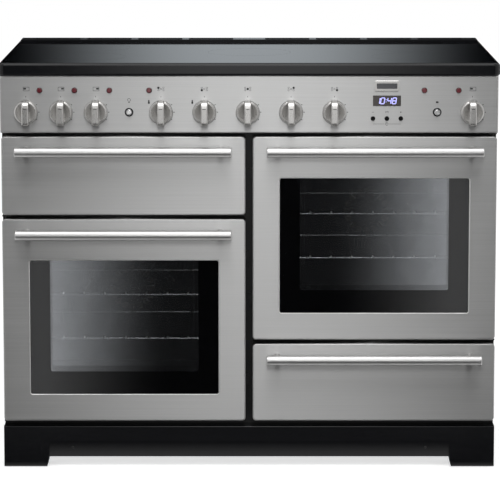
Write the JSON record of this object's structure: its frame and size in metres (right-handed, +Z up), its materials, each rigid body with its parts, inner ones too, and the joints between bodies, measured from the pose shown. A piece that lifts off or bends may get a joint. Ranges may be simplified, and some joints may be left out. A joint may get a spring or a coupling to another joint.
{
  "type": "induction range cooker",
  "caption": "Free-standing range cooker with a black glass induction hob, side-hung ovens with windows, a glide-out grill and a storage drawer in brushed steel.",
  "frame": {"origin": "on the floor, in the middle of the footprint including the handles", "axes": "+X to the right seen from the front, +Y to the back, +Z up; the doors face -Y"},
  "size_m": [1.1, 0.654, 0.911],
  "materials": {
    "stainless": "horizontally brushed stainless steel",
    "handle_steel": "fine brushed bar",
    "satin_silver": "satin",
    "chrome_button": "polished",
    "gloss_black": "gloss enamel",
    "frame_black": "satin enamel",
    "side_black": "textured powder coat",
    "galvanised": "zinc-coated sheet",
    "hob_glass": "black ceramic glass",
    "window_glass": "tinted pane",
    "enamel": "speckled dark vitreous enamel",
    "chrome_wire": "plated wire",
    "element_sheath": "oxidised sheath",
    "rope_seal": "braided glass rope",
    "red_lens": "clear red",
    "black_plastic": "smooth",
    "switch_plastic": "moulded",
    "coil_copper": "wound copper",
    "foot_steel": "zinc plated"
  },
  "bodies": {
    "casing": {"base_tray": "side_black", "left_side_panel": "side_black", "right_side_panel": "side_black", "rear_cover": "galvanised", "front_frame": "frame_black", "plinth": "gloss_black", "levelling_feet": "foot_steel", "control_panel": "stainless", "control_switches": "switch_plastic", "indicator_lenses": "red_lens", "clock_display": "black_plastic", "hob_trim": "gloss_black", "hob_glass": "hob_glass", "rear_vent_trim": "gloss_black", "induction_coils": "coil_copper", "left_oven_liner": "enamel", "right_oven_liner": "enamel", "grill_liner": "enamel", "door_seals": "rope_seal", "shelf_supports": "chrome_wire", "oven_shelves": "chrome_wire", "fan_covers": "enamel", "fan_motors": "galvanised", "heating_elements": "element_sheath", "drawer_rails": "foot_steel", "door_hinges": "foot_steel", "door_catches": "foot_steel", "terminal_box": "side_black"},
    "left_door": {"left_door_panel": "stainless", "left_door_glass": "window_glass", "left_door_liner": "enamel", "left_door_handle": "handle_steel"},
    "right_door": {"right_door_panel": "stainless", "right_door_glass": "window_glass", "right_door_liner": "enamel", "right_door_handle": "handle_steel"},
    "grill_drawer": {"grill_drawer_front": "stainless", "grill_carriage": "frame_black", "grill_pan": "enamel", "grill_trivet": "chrome_wire", "grill_drawer_handle": "handle_steel"},
    "storage_drawer": {"storage_drawer_front": "stainless", "storage_drawer_tub": "side_black", "storage_drawer_handle": "handle_steel"},
    "grill_knob": {"grill_knob": "satin_silver"},
    "left_oven_function_knob": {"left_oven_function_knob": "satin_silver"},
    "left_oven_temperature_knob": {"left_oven_temperature_knob": "satin_silver"},
    "hob_zone_1_knob": {"hob_zone_1_knob": "satin_silver"},
    "hob_zone_2_knob": {"hob_zone_2_knob": "satin_silver"},
    "hob_zone_3_knob": {"hob_zone_3_knob": "satin_silver"},
    "hob_zone_4_knob": {"hob_zone_4_knob": "satin_silver"},
    "hob_zone_5_knob": {"hob_zone_5_knob": "satin_silver"},
    "right_oven_knob": {"right_oven_knob": "satin_silver"},
    "oven_light_button": {"oven_light_button": "chrome_button"},
    "timer_button": {"timer_button": "chrome_button"},
    "clock_left_button": {"clock_left_button": "black_plastic"},
    "clock_middle_button": {"clock_middle_button": "black_plastic"},
    "clock_right_button": {"clock_right_button": "black_plastic"},
    "left_oven_fan": {"left_oven_fan": "galvanised"},
    "right_oven_fan": {"right_oven_fan": "galvanised"}
  },
  "joints": [
    {"name": "left_door_swing", "type": "hinge", "parent": "casing", "child": "left_door", "pos_m": [-0.5365, -0.249, 0.3335], "axis": [0, 0, -1], "range_deg": [0, 105]},
    {"name": "right_door_swing", "type": "hinge", "parent": "casing", "child": "right_door", "pos_m": [0.5365, -0.249, 0.5165], "axis": [0, 0, 1], "range_deg": [0, 105]},
    {"name": "grill_drawer_slide", "type": "slide", "parent": "casing", "child": "grill_drawer", "axis": [0, -1, 0], "range_m": [0, 0.33]},
    {"name": "storage_drawer_slide", "type": "slide", "parent": "casing", "child": "storage_drawer", "axis": [0, -1, 0], "range_m": [0, 0.35]},
    {"name": "grill_knob_turn", "type": "hinge", "parent": "casing", "child": "grill_knob", "pos_m": [-0.489, -0.281, 0.797], "axis": [0, 1, 0], "range_deg": [0, 270]},
    {"name": "left_oven_function_knob_turn", "type": "hinge", "parent": "casing", "child": "left_oven_function_knob", "pos_m": [-0.4125, -0.281, 0.797], "axis": [0, 1, 0], "continuous": true},
    {"name": "left_oven_temperature_knob_turn", "type": "hinge", "parent": "casing", "child": "left_oven_temperature_knob", "pos_m": [-0.336, -0.281, 0.797], "axis": [0, 1, 0], "range_deg": [0, 270]},
    {"name": "hob_zone_1_knob_turn", "type": "hinge", "parent": "casing", "child": "hob_zone_1_knob", "pos_m": [-0.193, -0.281, 0.797], "axis": [0, 1, 0], "range_deg": [0, 270]},
    {"name": "hob_zone_2_knob_turn", "type": "hinge", "parent": "casing", "child": "hob_zone_2_knob", "pos_m": [-0.098, -0.281, 0.797], "axis": [0, 1, 0], "range_deg": [0, 270]},
    {"name": "hob_zone_3_knob_turn", "type": "hinge", "parent": "casing", "child": "hob_zone_3_knob", "pos_m": [-0.003, -0.281, 0.797], "axis": [0, 1, 0], "range_deg": [0, 270]},
    {"name": "hob_zone_4_knob_turn", "type": "hinge", "parent": "casing", "child": "hob_zone_4_knob", "pos_m": [0.092, -0.281, 0.797], "axis": [0, 1, 0], "range_deg": [0, 270]},
    {"name": "hob_zone_5_knob_turn", "type": "hinge", "parent": "casing", "child": "hob_zone_5_knob", "pos_m": [0.187, -0.281, 0.797], "axis": [0, 1, 0], "range_deg": [0, 270]},
    {"name": "right_oven_knob_turn", "type": "hinge", "parent": "casing", "child": "right_oven_knob", "pos_m": [0.489, -0.281, 0.797], "axis": [0, 1, 0], "range_deg": [0, 270]},
    {"name": "oven_light_button_press", "type": "slide", "parent": "casing", "child": "oven_light_button", "axis": [0, 1, 0], "range_m": [0, 0.003], "stiffness_N_per_m": 400},
    {"name": "timer_button_press", "type": "slide", "parent": "casing", "child": "timer_button", "axis": [0, 1, 0], "range_m": [0, 0.003], "stiffness_N_per_m": 400},
    {"name": "clock_left_button_press", "type": "slide", "parent": "casing", "child": "clock_left_button", "axis": [0, 1, 0], "range_m": [0, 0.0015], "stiffness_N_per_m": 500},
    {"name": "clock_middle_button_press", "type": "slide", "parent": "casing", "child": "clock_middle_button", "axis": [0, 1, 0], "range_m": [0, 0.0015], "stiffness_N_per_m": 500},
    {"name": "clock_right_button_press", "type": "slide", "parent": "casing", "child": "clock_right_button", "axis": [0, 1, 0], "range_m": [0, 0.0015], "stiffness_N_per_m": 500},
    {"name": "left_oven_fan_spin", "type": "hinge", "parent": "casing", "child": "left_oven_fan", "pos_m": [-0.276, 0.198, 0.3335], "axis": [0, 1, 0], "continuous": true},
    {"name": "right_oven_fan_spin", "type": "hinge", "parent": "casing", "child": "right_oven_fan", "pos_m": [0.276, 0.198, 0.5165], "axis": [0, 1, 0], "continuous": true}
  ]
}
